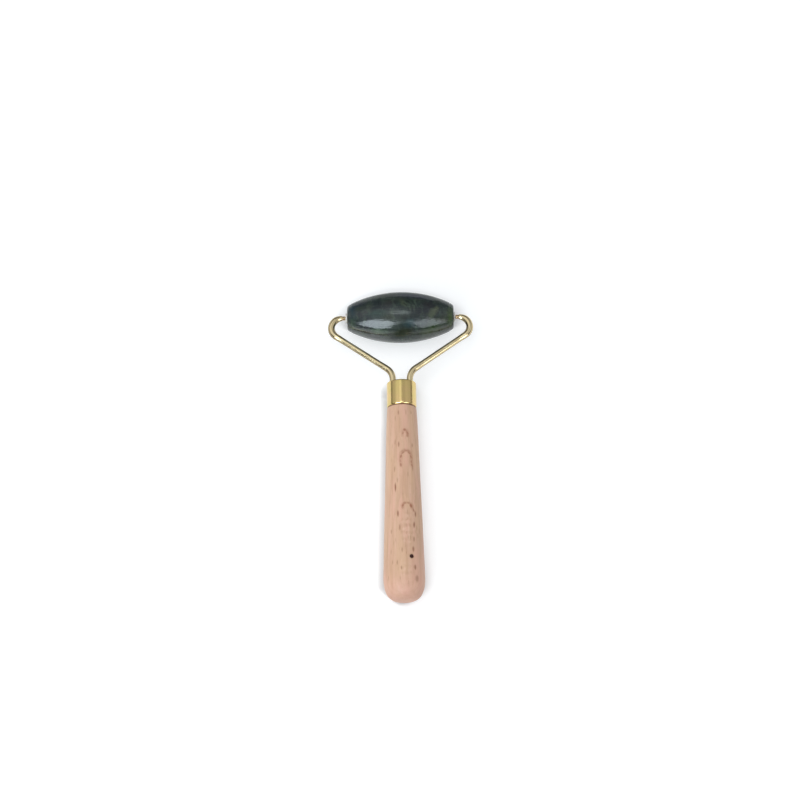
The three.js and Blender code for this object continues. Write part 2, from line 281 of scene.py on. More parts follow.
# the flecks that make up the three growth-ring arches of the upper face: place, half lengths, turn in degrees, strength
ARCH_FLECKS = [
    ((1.01, -50.3), (0.96, 0.80), 0, 0.85), ((0.20, -51.8), (0.52, 1.01), -28, 0.65), ((2.13, -51.5), (0.56, 1.09), 25, 0.80),
    ((1.32, -59.1), (1.04, 0.50), 0, 0.65), ((0.13, -60.0), (0.52, 1.18), -48, 0.75), ((-0.59, -61.5), (0.56, 1.22), -14, 0.90),
    ((-0.80, -63.4), (0.48, 1.09), 0, 0.60), ((-0.69, -65.0), (0.56, 1.18), 4, 0.80), ((2.66, -60.0), (0.52, 1.18), 46, 0.75),
    ((3.29, -61.5), (0.56, 1.22), 14, 0.90), ((3.44, -63.5), (0.52, 1.18), 3, 0.70), ((3.59, -64.9), (0.52, 1.09), 8, 0.70),
    ((-0.14, -81.9), (0.76, 1.26), -20, 0.90), ((0.74, -81.0), (1.04, 0.55), 20, 0.70), ((1.95, -80.9), (0.88, 0.46), -10, 0.50),
    ((3.02, -81.9), (0.76, 1.34), 16, 0.95), ((4.03, -83.6), (0.48, 1.09), 14, 0.70),
]


def make_handle():
    """Turned beech handle with its tenon and blind pilot hole. The knot is a shallow pit."""
    line = through(HANDLE_LINE, 6)
    line = [(min(max(r, 0.0), 8.139), h) for r, h in line]
    line[-1] = (0.0, -118.6)
    fine = []
    for a, b in zip(line, line[1:]):
        n = 6 if -103.6 < a[1] < -101.3 else 1
        for k in range(n):
            fine.append((a[0] + (b[0] - a[0]) * k / n, a[1] + (b[1] - a[1]) * k / n))
    fine.append(line[-1])
    top = [
        (0.0, -55.0),
        (2.1, -54.0),
        (2.1, -50.0),
        (2.1, -42.0),
        (2.1, -34.4),
        (4.95, -34.4),
        (5.25, -34.7),
        (5.25, -38.5),
        (5.25, -38.93),
        (5.3, HANDLE_TOP),
        (5.55, HANDLE_TOP),
        (5.68, -39.0),
        (5.79, -39.1),
    ]
    profile = top + fine

    def shape(p):
        d = math.hypot(p.x - KNOT.x, p.y - KNOT.y) if p.z > 0 else 9
        if d < 1.1:
            r = math.hypot(p.x, p.z)
            depth = 0.42 * max(0.0, 1 - (d / 0.62) ** 2) ** 1.5
            lip = 0.05 * math.exp(-(((d - 0.75) / 0.2) ** 2))
            s = 1 - (depth + lip) / r
            return Vector((p.x * s, p.y, p.z * s))
        return p

    return lathe("beech_handle", profile, "y", 288, shape=shape)


def cut_holes(obj, radius, places, low, high):
    """Round holes along y, at each x."""
    for n, x in enumerate(places):
        bm = bmesh.new()
        bmesh.ops.create_cone(
            bm, cap_ends=True, segments=64, radius1=radius * MM, radius2=radius * MM, depth=(high - low) * MM
        )
        bm.transform(
            Matrix.Translation(Vector((x, (low + high) / 2, 0)) * MM) @ Matrix.Rotation(math.radians(90), 4, "X")
        )
        tool = new_object(f"hole_tool_{n}", bm)
        mod = obj.modifiers.new("hole", "BOOLEAN")
        mod.operation = "DIFFERENCE"
        mod.solver = "EXACT"
        mod.object = tool
        deps = bpy.context.evaluated_depsgraph_get()
        mesh = bpy.data.meshes.new_from_object(obj.evaluated_get(deps))
        obj.modifiers.clear()
        old = obj.data
        obj.data = mesh
        bpy.data.meshes.remove(old)
        bpy.data.objects.remove(tool)
    return obj


def make_ferrule():
    """Drawn brass cup with softly rounded rims and a rolled lower lip, with two holes in its roof."""
    outer = [(4.2, -28.6), (5.2, -28.6)]
    outer += fillet(5.5, -29.05, 0.45, 90, 0, 10)
    outer += [(5.95, -30.0), (5.95, -31.5), (5.95, -33.5), (5.95, -35.5), (5.95, -37.4), (5.95, -38.0)]
    outer += [(5.947, -38.2), (5.93, -38.35), (5.9, -38.5), (5.84, -38.64), (5.75, -38.76), (5.64, -38.85), (5.52, -38.9)]
    outer += [(5.45, -38.9), (5.38, -38.82), (5.35, -38.6)]
    outer += [(5.35, -36.0), (5.35, -32.0), (5.35, -29.8), (5.3, -29.5), (5.1, -29.4), (4.0, -29.4), (0.0, -29.4)]
    profile = [(0.0, -28.6), (2.0, -28.6)] + outer
    obj = lathe("ferrule_cup", profile, "y", 192)
    cut_holes(obj, 1.36, (3.45, -3.45), -31, -27)
    for p in obj.data.polygons:
        p.use_smooth = True
    obj.data.set_sharp_from_angle(angle=math.radians(35))
    return obj


# ---- the wires

SPACING, FOOT, BEND_R, BEND_START = 3.45, -33.6, 5.5, -26.5
SLOPE = math.radians(34.7)
LOOP_R, LOOP_X, LOOP_Y = 4.33, 23.67, -4.33


def arm_route():
    """(length of each part, function of distance to (x, y))."""
    turn = math.pi / 2 - SLOPE
    bx, by = SPACING + BEND_R, BEND_START
    ex, ey = bx - BEND_R * math.cos(turn), by + BEND_R * math.sin(turn)
    a0 = SLOPE - math.pi / 2
    sx, sy = LOOP_X + LOOP_R * math.cos(a0), LOOP_Y + LOOP_R * math.sin(a0)
    straight = math.hypot(sx - ex, sy - ey)
    return [
        (BEND_START - FOOT, lambda s: (SPACING, FOOT + s)),
        (
            BEND_R * turn,
            lambda s: (bx + BEND_R * math.cos(math.pi - s / BEND_R), by + BEND_R * math.sin(math.pi - s / BEND_R)),
        ),
        (straight, lambda s: (ex + (sx - ex) * s / straight, ey + (sy - ey) * s / straight)),
        (
            LOOP_R * (math.pi / 2 - a0),
            lambda s: (LOOP_X + LOOP_R * math.cos(a0 + s / LOOP_R), LOOP_Y + LOOP_R * math.sin(a0 + s / LOOP_R)),
        ),
    ]


def smoothstep(a, b, v):
    t = max(0.0, min(1.0, (v - a) / (b - a)))
    return t * t * (3 - 2 * t)


def make_arm(name, side):
    """Bent wire, a little fuller where it is bent, with a rounded end round the pin's socket."""
    parts = arm_route()
    foot, shoulder, arm, loop = [p[0] for p in parts]
    total = foot + shoulder + arm + loop

    def at(s):
        for i, (length, f) in enumerate(parts):
            if s <= length or i == 3:
                return f(min(s, length))
            s -= length

    def radius(s):
        r = 1.21
        r += 0.09 * smoothstep(foot - 2, foot + 1.5, s) * (1 - smoothstep(foot + shoulder, foot + shoulder + 4, s))
        r += 0.17 * smoothstep(foot + shoulder + arm - 4, foot + shoulder + arm + 2, s)
        r += -0.28 * smoothstep(foot + shoulder + arm + loop - 3.2, total - 0.2, s)
        return r

    stations = [total * i / 250 for i in range(251)]
    tip = 0.32  # rounding of the end
    stations = [s for s in stations if s < total - tip - 0.05]
    rings = [(s, radius(s)) for s in stations]
    r_end = radius(total - tip)
    for k in range(8):
        a = math.radians(90 * k / 7)
        rings.append((total - tip + tip * math.sin(a), r_end - tip + tip * math.cos(a)))
    bm = bmesh.new()
    uv = bm.loops.layers.uv.new("turned")
    sides = 48
    made = []

    def ring_at(x, y, tx, ty, r):
        nx, ny = -ty, tx
        out = []
        for k in range(sides):
            a = 2 * math.pi * k / sides
            c, z = r * math.cos(a), r * math.sin(a)
            out.append(bm.verts.new(Vector((side * (x + nx * c), y + ny * c, z)) * MM))
        return out

    for s, r in rings:
        x, y = at(s)
        x2, y2 = at(max(s - 0.02, 0))
        x3, y3 = at(min(s + 0.02, total))
        l = math.hypot(x3 - x2, y3 - y2)
        made.append((ring_at(x, y, (x3 - x2) / l, (y3 - y2) / l, r), s))
    # down into the socket, along the axle
    for r, x in ((0.99, LOOP_X), (0.955, LOOP_X + 0.03), (0.95, LOOP_X + 0.1), (0.95, 24.2), (0.95, 24.7)):
        made.append((ring_at(x, 0.0, -1.0, 0.0, r), total + (x - LOOP_X) + 0.3))
    around = 2 * math.pi * 1.3
    for (a, sa), (b, sb) in zip(made, made[1:]):
        for k in range(sides):
            k2 = (k + 1) % sides
            face = bm.faces.new((a[k], a[k2], b[k2], b[k]))
            for loop_, (kk, s) in zip(face.loops, ((k, sa), (k + 1, sa), (k + 1, sb), (k, sb))):
                loop_[uv].uv = (kk / sides * around * 0.1, s * 0.1)
    bm.faces.new(made[0][0])
    bm.faces.new(made[-1][0])
    return new_object(name, bm, sharp_deg=50)


def make_pin(name, side):
    profile = [(0.0, 15.4), (0.5, 15.4), (0.7, 15.7), (0.7, 18.0), (0.7, 22.4), (0.85, 22.4), (0.85, 23.4), (0.85, 24.45), (0.7, 24.6), (0.0, 24.6)]
    profile = soften(profile, 0.06, 3, corners={4, 5, 7, 8})
    return lathe(name, [(r, side * h) for r, h in profile], "x", 64, sharp_deg=50)


def make_bush(name, side):
    """Flanged nylon bush with small moulded radii."""
    face = 21.65
    ring = [
        (0.76, 14.6), (1.5, 14.6), (1.7, 14.9), (1.7, 18.0), (1.7, 21.4), (1.7, face), (2.0, face),
        (2.0, face + 0.5), (0.76, face + 0.5), (0.76, 21.6), (0.76, 18.0),
    ]
    closed = ring + [ring[0]]
    soft = soften(closed, 0.14, 4, corners={2, 6, 7, 8})
    return lathe(name, [(r, side * h) for r, h in soft[:-1]], "x", 72, closed=True, sharp_deg=50)


# ---------------------------------------------------------------- node helpers


class Tree:
    """A short way to write a node material."""

    def __init__(self, name):
        self.material = bpy.data.materials.new(name)
        self.material.use_nodes = True
        self.nodes = self.material.node_tree.nodes
        self.links = self.material.node_tree.links
        self.nodes.clear()
        self.fork = None
        self.out = self.nodes.new("ShaderNodeOutputMaterial")
        self.bsdf = self.nodes.new("ShaderNodeBsdfPrincipled")
        self.links.new(self.bsdf.outputs[0], self.out.inputs["Surface"])

    def node(self, kind, **settings):
        n = self.nodes.new(kind)
        for k, v in settings.items():
            setattr(n, k, v)
        return n

    def feed(self, node, **inputs):
        for k, v in inputs.items():
            socket = node.inputs[k.replace("_", " ")] if not k.startswith("i") or not k[1:].isdigit() else node.inputs[int(k[1:])]
            if isinstance(v, bpy.types.NodeSocket):
                self.links.new(v, socket)
            else:
                socket.default_value = v
        return node

    def fork_mm(self):
        """The surface point in millimetres, in the fork's own frame."""
        if not self.fork:
            co = self.node("ShaderNodeTexCoord")
            m = self.node("ShaderNodeMapping", vector_type="POINT")
            self.links.new(co.outputs["Object"], m.inputs["Vector"])
            back = Matrix.Rotation(-TIP_DOWN, 3, "X")
            m.inputs["Location"].default_value = -(back @ AXLE) / MM
            m.inputs["Rotation"].default_value = (-TIP_DOWN, 0, 0)
            m.inputs["Scale"].default_value = (1 / MM, 1 / MM, 1 / MM)
            self.fork = m.outputs[0]
        return self.fork

    def object_mm(self, scale=(1, 1, 1), rotate=(0, 0, 0), move=(0, 0, 0), of=None):
        """The same point (or another vector), stretched, turned and moved."""
        m = self.node("ShaderNodeMapping", vector_type="POINT")
        self.links.new(of or self.fork_mm(), m.inputs["Vector"])
        m.inputs["Location"].default_value = move
        m.inputs["Rotation"].default_value = [math.radians(a) for a in rotate]
        m.inputs["Scale"].default_value = scale
        return m.outputs[0]

    def spot(self, at, size, turn=0.0, inner=0.35, of=None):
        """A soft patch: 1 in the middle of an ellipsoid at this point, 0 outside it. Sizes are half lengths in mm, turn is
        in degrees about z."""
        m = self.node("ShaderNodeMapping", vector_type="TEXTURE")
        self.links.new(of or self.fork_mm(), m.inputs["Vector"])
        m.inputs["Location"].default_value = at
        m.inputs["Rotation"].default_value = (0, 0, math.radians(turn))
        m.inputs["Scale"].default_value = size
        n = self.node("ShaderNodeVectorMath", operation="LENGTH")
        self.links.new(m.outputs[0], n.inputs[0])
        return self.range(n.outputs["Value"], inner, 1.0, 1.0, 0.0, smooth=True)

    def shift(self, vector, by, amount):
        """The vector moved about by a noise colour, up to this many mm."""
        s = self.node("ShaderNodeVectorMath", operation="SUBTRACT")
        self.links.new(by, s.inputs[0])
        s.inputs[1].default_value = (0.5, 0.5, 0.5)
        k = self.node("ShaderNodeVectorMath", operation="SCALE")
        self.links.new(s.outputs[0], k.inputs[0])
        k.inputs["Scale"].default_value = amount
        a = self.node("ShaderNodeVectorMath", operation="ADD")
        self.links.new(vector, a.inputs[0])
        self.links.new(k.outputs[0], a.inputs[1])
        return a.outputs[0]

    def uv_mm(self, scale=(1, 1, 1)):
        co = self.node("ShaderNodeUVMap", uv_map="turned")
        m = self.node("ShaderNodeMapping", vector_type="POINT")
        self.links.new(co.outputs[0], m.inputs["Vector"])
        m.inputs["Scale"].default_value = [10 * s for s in scale]
        return m.outputs[0]

    def noise(self, vector, scale, detail=4.0, rough=0.55, distort=0.0, lac=2.0, out=0):
        n = self.node("ShaderNodeTexNoise")
        self.links.new(vector, n.inputs["Vector"])
        n.inputs["Scale"].default_value = scale
        n.inputs["Detail"].default_value = detail
        n.inputs["Roughness"].default_value = rough
        n.inputs["Distortion"].default_value = distort
        n.inputs["Lacunarity"].default_value = lac
        return n.outputs[out]

    def voronoi(self, vector, scale, feature="F1", randomness=1.0, out="Distance"):
        n = self.node("ShaderNodeTexVoronoi", feature=feature)
        self.links.new(vector, n.inputs["Vector"])
        n.inputs["Scale"].default_value = scale
        n.inputs["Randomness"].default_value = randomness
        return n.outputs[out]

    def ramp(self, fac, stops, interpolation="LINEAR"):
        n = self.node("ShaderNodeValToRGB")
        n.color_ramp.interpolation = interpolation
        e = n.color_ramp.elements
        while len(e) > 1:
            e.remove(e[-1])
        e[0].position, e[0].color = stops[0][0], rgba(stops[0][1])
        for pos, col in stops[1:]:
            x = e.new(pos)
            x.color = rgba(col)
        self.links.new(fac, n.inputs[0])
        return n.outputs[0]

    def range(self, value, a, b, c, d, smooth=False):
        n = self.node("ShaderNodeMapRange", interpolation_type="SMOOTHSTEP" if smooth else "LINEAR")
        self.links.new(value, n.inputs["Value"])
        for k, v in (("From Min", a), ("From Max", b), ("To Min", c), ("To Max", d)):
            n.inputs[k].default_value = v
        return n.outputs[0]

    def math(self, op, a, b=None, clamp=False):
        n = self.node("ShaderNodeMath", operation=op, use_clamp=clamp)
        for i, v in enumerate((a, b)):
            if v is None:
                continue
            if isinstance(v, bpy.types.NodeSocket):
                self.links.new(v, n.inputs[i])
            else:
                n.inputs[i].default_value = v
        return n.outputs[0]

    def mix(self, fac, a, b, blend="MIX"):
        n = self.node("ShaderNodeMix", data_type="RGBA", blend_type=blend)
        for i, v in ((0, fac), (6, a), (7, b)):
            if isinstance(v, bpy.types.NodeSocket):
                self.links.new(v, n.inputs[i])
            else:
                n.inputs[i].default_value = rgba(v) if i else v
        return n.outputs[2]

    def bump(self, height, distance_mm, strength=1.0, normal=None):
        n = self.node("ShaderNodeBump")
        n.inputs["Strength"].default_value = strength
        n.inputs["Distance"].default_value = distance_mm * MM
        self.links.new(height, n.inputs["Height"])
        if normal:
            self.links.new(normal, n.inputs["Normal"])
        return n.outputs[0]


def rgba(c):
    return (c[0], c[1], c[2], 1.0) if not isinstance(c, (int, float)) else (c, c, c, 1.0)


def srgb(r, g, b):
    """An 8-bit sRGB colour as the linear numbers Blender takes."""
    f = lambda v: v / 12.92 if v <= 0.04045 else ((v + 0.055) / 1.055) ** 2.4
    return tuple(f(v / 255) for v in (r, g, b))


# ---------------------------------------------------------------- materials


def mat_jade():
    """Dark green nephrite: slate and olive clouds, slanting fibres, a few lighter strokes and a curl of fibres by the
    middle of the barrel, under a waxed polish."""
    t = Tree("jade_polished")
    base = t.fork_mm()
    warp = t.shift(base, t.noise(base, 0.16, 3, 0.55, out=1), 5.0)
    fine_warp = t.shift(base, t.noise(base, 0.38, 5, 0.62, out=1), 3.2)
    cloud = t.noise(t.object_mm(move=(4, 9, 2), of=warp), 0.085, 3, 0.5)
    colour = t.ramp(
        cloud,
        [
            (0.32, srgb(32, 39, 44)),
            (0.46, srgb(38, 49, 49)),
            (0.55, srgb(44, 56, 51)),
            (0.66, srgb(50, 57, 52)),
        ],
    )
    patch = t.noise(t.object_mm(move=(31, 12, -7), of=warp), 0.12, 3, 0.5)
    colour = t.mix(t.range(patch, 0.50, 0.66, 0.0, 0.5, smooth=True), colour, srgb(48, 61, 43))
    # fibres, running on a slant, in places only
    fibre = t.noise(t.object_mm(scale=(1.1, 0.26, 0.4), rotate=(0, 0, 28), of=fine_warp), 0.62, 5, 0.58)
    where = t.noise(t.object_mm(move=(8, 3, 5)), 0.13, 2, 0.5)
    light = t.math("MULTIPLY", t.range(fibre, 0.48, 0.70, 0.0, 0.6, smooth=True), t.range(where, 0.42, 0.62, 0.35, 1.0))
    colour = t.mix(light, colour, srgb(74, 90, 78))
    dark = t.math("MULTIPLY", t.range(fibre, 0.32, 0.47, 0.6, 0.0, smooth=True), t.range(where, 0.38, 0.60, 1.0, 0.3))
    colour = t.mix(dark, colour, srgb(22, 29, 30))
    # the strokes: place, half lengths, turn, strength, colour
    strokes = [
        ((13.0, -1.6, 8.4), (2.2, 4.6, 4.0), -36, 0.62, srgb(88, 99, 74)),
        ((14.4, 0.6, 8.0), (1.4, 2.4, 4.0), -30, 0.45, srgb(98, 104, 80)),
        ((1.2, 2.3, 10.1), (1.6, 3.6, 4.0), 30, 0.55, srgb(76, 86, 64)),
        ((3.8, 0.6, 10.1), (3.6, 2.0, 4.0), -20, 0.4, srgb(72, 86, 72)),
        ((11.2, 2.2, 8.8), (3.6, 2.8, 4.0), 0, 0.5, srgb(40, 35, 38)),
        ((-4.4, 2.7, 9.8), (5.0, 2.4, 4.0), 10, 0.45, srgb(52, 47, 45)),
        ((12.6, -7.1, 4.8), (7.0, 2.8, 3.4), 18, 0.85, srgb(46, 68, 30)),
        ((2.2, -8.4, 6.0), (6.0, 2.4, 3.4), 4, 0.8, srgb(40, 46, 26)),
        ((-9.0, -7.9, 5.2), (6.0, 1.9, 3.0), -12, 0.8, srgb(60, 86, 62)),
        ((-19.4, 1.0, 6.0), (2.6, 6.5, 5.0), 0, 0.8, srgb(22, 50, 60)),
        ((20.0, -2.0, 4.9), (1.9, 7.0, 5.0), 0, 0.75, srgb(66, 86, 44)),
        ((-19.3, -4.9, 3.8), (2.4, 3.6, 4.0), 0, 0.45, srgb(66, 88, 68)),
        ((-13.2, 0.4, 8.3), (2.4, 5.0, 4.0), -40, 0.35, srgb(74, 81, 76)),
        ((-9.5, -1.7, 9.1), (7.0, 2.6, 4.0), 6, 0.65, srgb(42, 70, 64)),
        ((3.6, -5.6, 8.8), (4.2, 2.4, 4.0), 10, 0.7, srgb(46, 72, 78)),
        ((1.6, -3.8, 9.6), (1.6, 2.4, 4.0), -40, 0.55, srgb(28, 31, 32)),
        ((-17.0, 3.4, 6.2), (4.4, 3.2, 4.0), 0, 0.75, srgb(24, 32, 48)),
        ((6.0, 6.4, 8.0), (14.0, 2.8, 4.0), 0, 0.75, srgb(34, 40, 60)),
    ]
    for at, size, turn, strength, tint in strokes:
        colour = t.mix(t.math("MULTIPLY", t.spot(at, size, turn, 0.0, of=fine_warp), strength), colour, tint)
    # the curl: fine arcs round a point, fading out
    gap = t.node("ShaderNodeVectorMath", operation="DISTANCE")
    t.links.new(fine_warp, gap.inputs[0])
    gap.inputs[1].default_value = (-1.5, -1.5, 10.2)
    uneven = t.math("MULTIPLY", t.noise(base, 0.5, 3, 0.5), 3.4)
    arcs = t.math("SINE", t.math("ADD", t.math("MULTIPLY", gap.outputs["Value"], 3.9), uneven))
    near_curl = t.math("MULTIPLY", t.spot((4.2, 1.4, 10.0), (4.8, 4.8, 5.0), 0, 0.2), t.range(t.noise(base, 0.7, 3, 0.55), 0.36, 0.62, 0.15, 1.0))
    curl = t.math("MULTIPLY", t.range(arcs, 0.0, 1.0, 0.0, 0.8, smooth=True), near_curl)
    colour = t.mix(curl, colour, srgb(20, 30, 28))
    pale = t.math("MULTIPLY", t.range(arcs, -0.2, -1.0, 0.0, 0.35, smooth=True), near_curl)
    colour = t.mix(pale, colour, srgb(74, 92, 72))
    # painted reflection: thin dark and pale lines along the barrel, drawn into the colour, mostly low on its left
    painted_reflection_lines = t.noise(t.object_mm(scale=(0.10, 1.7, 1.7), rotate=(0, 0, -4), of=t.shift(base, t.noise(base, 0.25, 2, 0.5, out=1), 1.6)), 0.9, 3, 0.55)
    low = t.math("ADD", t.math("MULTIPLY", t.spot((-12.0, -7.6, 4.6), (11.0, 4.4, 6.0), -8, 0.3), 0.8), 0.12)
    colour = t.mix(t.math("MULTIPLY", t.range(painted_reflection_lines, 0.47, 0.38, 0.0, 0.9, smooth=True), low), colour, srgb(14, 20, 18))
    colour = t.mix(t.math("MULTIPLY", t.range(painted_reflection_lines, 0.54, 0.63, 0.0, 0.6, smooth=True), low), colour, srgb(94, 112, 96))
    # thin dark seams and a few specks
    vein = t.noise(t.object_mm(scale=(0.7, 0.45, 0.5), rotate=(20, 35, 10), move=(3, 5, 9), of=warp), 0.2, 4, 0.55)
    seam = t.range(t.math("ABSOLUTE", t.math("SUBTRACT", vein, 0.5)), 0.0, 0.012, 0.4, 0.0, smooth=True)
    colour = t.mix(seam, colour, srgb(18, 23, 23))
    t.links.new(colour, t.bsdf.inputs["Base Color"])
    rough = t.range(t.noise(base, 0.5, 4, 0.6), 0.35, 0.65, 0.15, 0.23)
    t.links.new(rough, t.bsdf.inputs["Roughness"])
    t.bsdf.inputs["IOR"].default_value = 1.5
    edge = t.node("ShaderNodeLayerWeight")
    edge.inputs["Blend"].default_value = 0.5
    side = t.node("ShaderNodeSeparateXYZ")
    t.links.new(base, side.inputs[0])
    worn = t.range(side.outputs[1], 2.0, 7.5, 0.2, 1.0, smooth=True)
    drop = t.math("MULTIPLY", t.range(edge.outputs["Facing"], 0.25, 0.62, 0.0, 0.42, smooth=True), worn)
    # the best polished stretch is low down on the left, by the rim
    reach = t.math("SQRT", t.math("ADD", t.math("MULTIPLY", side.outputs[1], side.outputs[1]), t.math("MULTIPLY", side.outputs[2], side.outputs[2])))
    low = t.range(t.math("DIVIDE", side.outputs[1], t.math("MAXIMUM", reach, 0.1)), -0.86, -0.74, 1.0, 0.0, smooth=True)
    low = t.math("MULTIPLY", low, t.math("ADD", t.range(side.outputs[0], -10.0, -1.0, 0.5, 0.0, smooth=True), t.range(side.outputs[0], 3.0, 14.0, 0.0, 0.2, smooth=True)))
    polish = t.math("MAXIMUM", low, t.range(side.outputs[0], -20.6, -19.6, 0.35, 0.0, smooth=True))
    t.links.new(t.math("ADD", t.math("SUBTRACT", 0.5, drop), polish), t.bsdf.inputs["Specular IOR Level"])
    t.bsdf.inputs["Subsurface Weight"].default_value = 0.08
    t.bsdf.inputs["Subsurface Radius"].default_value = (0.6, 1.0, 0.7)
    t.bsdf.inputs["Subsurface Scale"].default_value = 0.0012
    # hand polish: long faint waves along the barrel
    wave = t.noise(t.object_mm(scale=(0.12, 0.6, 0.6), of=t.shift(base, t.noise(base, 0.2, 2, 0.5, out=1), 3.0)), 0.9, 2, 0.45)
    pits = t.noise(base, 1.2, 3, 0.5)
    streaks = t.noise(t.object_mm(scale=(0.16, 1.5, 1.5)), 0.9, 2, 0.5)
    height = t.math("ADD", t.math("ADD", wave, t.math("MULTIPLY", streaks, 0.28)), t.math("MULTIPLY", pits, 0.05))
    t.links.new(t.bump(height, 0.14, 0.9), t.bsdf.inputs["Normal"])
    return t.material


def arch(t, x, y, xc, yc, half, squash, leg, width):
    """A pointed growth-ring arch with its crown towards the head: 1 on its line, 0 off it, fading down the legs."""
    dx = t.math("ABSOLUTE", t.math("SUBTRACT", x, xc))
    dy = t.math("MAXIMUM", t.math("MULTIPLY", t.math("SUBTRACT", y, yc), squash), 0.0)
    d = t.math("SQRT", t.math("ADD", t.math("MULTIPLY", dx, dx), t.math("MULTIPLY", dy, dy)))
    line = t.range(t.math("ABSOLUTE", t.math("SUBTRACT", d, half)), 0.0, width, 1.0, 0.0, smooth=True)
    return t.math("MULTIPLY", line, t.range(y, yc - leg, yc - leg * 0.4, 0.0, 1.0, smooth=True))


def mat_beech():
    t = Tree("beech_oiled")
    base = t.fork_mm()
    loose = t.shift(base, t.noise(t.object_mm(scale=(1, 0.3, 1)), 0.6, 3, 0.5, out=1), 0.5)
    co = t.node("ShaderNodeSeparateXYZ")
    t.links.new(loose, co.inputs[0])
    x, y, z = co.outputs
    # Growth rings: nearly flat layers, leaning along the handle, which come out as pointed arches on the two flat faces
    # and as long lines on the two sides.
    warp = t.noise(t.object_mm(scale=(0.06, 0.012, 0.06)), 1.0, 3, 0.5)
    side = t.math("MULTIPLY", t.math("MULTIPLY", x, x), 0.030)
    layer = t.math("SUBTRACT", t.math("ADD", z, side), t.math("MULTIPLY", y, 0.020))
    layer = t.math("ADD", layer, t.math("MULTIPLY", t.math("SUBTRACT", warp, 0.5), 1.2))
    ring = t.math("FRACT", t.math("MULTIPLY", t.math("ADD", layer, 40.0), 0.8))
    late = t.range(ring, 0.62, 0.97, 0.0, 1.0, smooth=True)
    late = t.math("MULTIPLY", late, t.range(ring, 0.97, 1.0, 1.0, 0.0))
    front = t.range(z, -1.0, 4.0, 1.0, 0.35, smooth=True)
    late = t.math("MULTIPLY", late, front)
    # long soft streaks
    streak = t.noise(t.object_mm(scale=(1.0, 0.045, 1.0)), 0.75, 5, 0.6)
    fine = t.noise(t.object_mm(scale=(1.0, 0.05, 1.0), move=(4, 0, 2)), 3.2, 4, 0.55)
    tone = t.noise(t.object_mm(scale=(1.0, 0.2, 1.0)), 0.26, 3, 0.5)
    colour = t.ramp(
        streak,
        [(0.22, srgb(200, 154, 128)), (0.40, srgb(215, 175, 147)), (0.56, srgb(222, 184, 157)), (0.78, srgb(232, 196, 170))],
    )
    colour = t.mix(t.range(tone, 0.48, 0.66, 0.0, 0.55, smooth=True), colour, srgb(229, 181, 160))
    colour = t.mix(t.range(tone, 0.34, 0.50, 0.45, 0.0, smooth=True), colour, srgb(223, 186, 151))
    colour = t.mix(t.math("MULTIPLY", late, 0.34), colour, srgb(180, 134, 108))
    colour = t.mix(t.range(fine, 0.55, 0.8, 0.0, 0.22), colour, srgb(188, 144, 118))
    # the arches on the upper face
    top = t.range(z, 2.0, 4.5, 0.0, 1.0)
    arches = None
    for a in (
        (1.15, -52.2, 1.0, 0.6, 1.6, 0.95, 1.0),
        (1.33, -61.1, 2.05, 0.95, 5.8, 1.1, 1.0),
        (1.5, -81.9, 1.85, 1.5, 2.2, 1.1, 1.0),
    ):
        m = t.math("MULTIPLY", arch(t, x, y, *a[:6]), a[6])
        arches = m if arches is None else t.math("MAXIMUM", arches, m)
    broken = t.range(t.noise(t.object_mm(scale=(1, 0.36, 1), move=(0.4, 0.2, 0)), 1.15, 3, 0.6), 0.40, 0.58, 0.45, 1.0, smooth=True)
    arches = t.math("MULTIPLY", t.math("MULTIPLY", arches, top), t.math("MULTIPLY", broken, 0.6))
    for at, size, turn, strength in ARCH_FLECKS:
        arches = t.math("MAXIMUM", arches, t.math("MULTIPLY", t.spot((at[0], at[1], 6.6), (size[0] * 1.1, size[1] * 1.15, 3.0), turn, 0.2, of=loose), strength))
    colour = t.mix(t.math("MULTIPLY", arches, 0.95), colour, srgb(168, 106, 80))
    # crossed silver grain below the third arch: a faint lattice of pale and dark lozenges
    drawn = t.shift(base, t.noise(t.object_mm(scale=(1, 0.7, 1)), 0.55, 3, 0.55, out=1), 2.2)
    part = t.node("ShaderNodeSeparateXYZ")
    t.links.new(drawn, part.inputs[0])
    across, down = t.math("MULTIPLY", part.outputs[0], 1.5), t.math("MULTIPLY", part.outputs[1], 1.15)
    lattice = t.math("MULTIPLY", t.math("SINE", t.math("ADD", across, down)), t.math("SINE", t.math("SUBTRACT", across, down)))
    area = t.math("MAXIMUM", t.spot((1.4, -91.0, 6.8), (3.8, 9.5, 3.4), 0, 0.35), t.math("MULTIPLY", t.spot((0.9, -108.5, 6.8), (3.6, 5.4, 3.4), 0, 0.3), 0.7))
    patchy = t.range(t.noise(t.object_mm(scale=(1, 0.7, 1), move=(2, 7, 1)), 0.7, 3, 0.55), 0.38, 0.6, 0.25, 1.0)
    area = t.math("MULTIPLY", area, patchy)
    colour = t.mix(t.math("MULTIPLY", t.range(lattice, 0.0, 0.8, 0.0, 0.5, smooth=True), area), colour, srgb(190, 142, 116))
    colour = t.mix(t.math("MULTIPLY", t.range(lattice, -0.1, -0.8, 0.0, 0.5, smooth=True), area), colour, srgb(238, 206, 182))
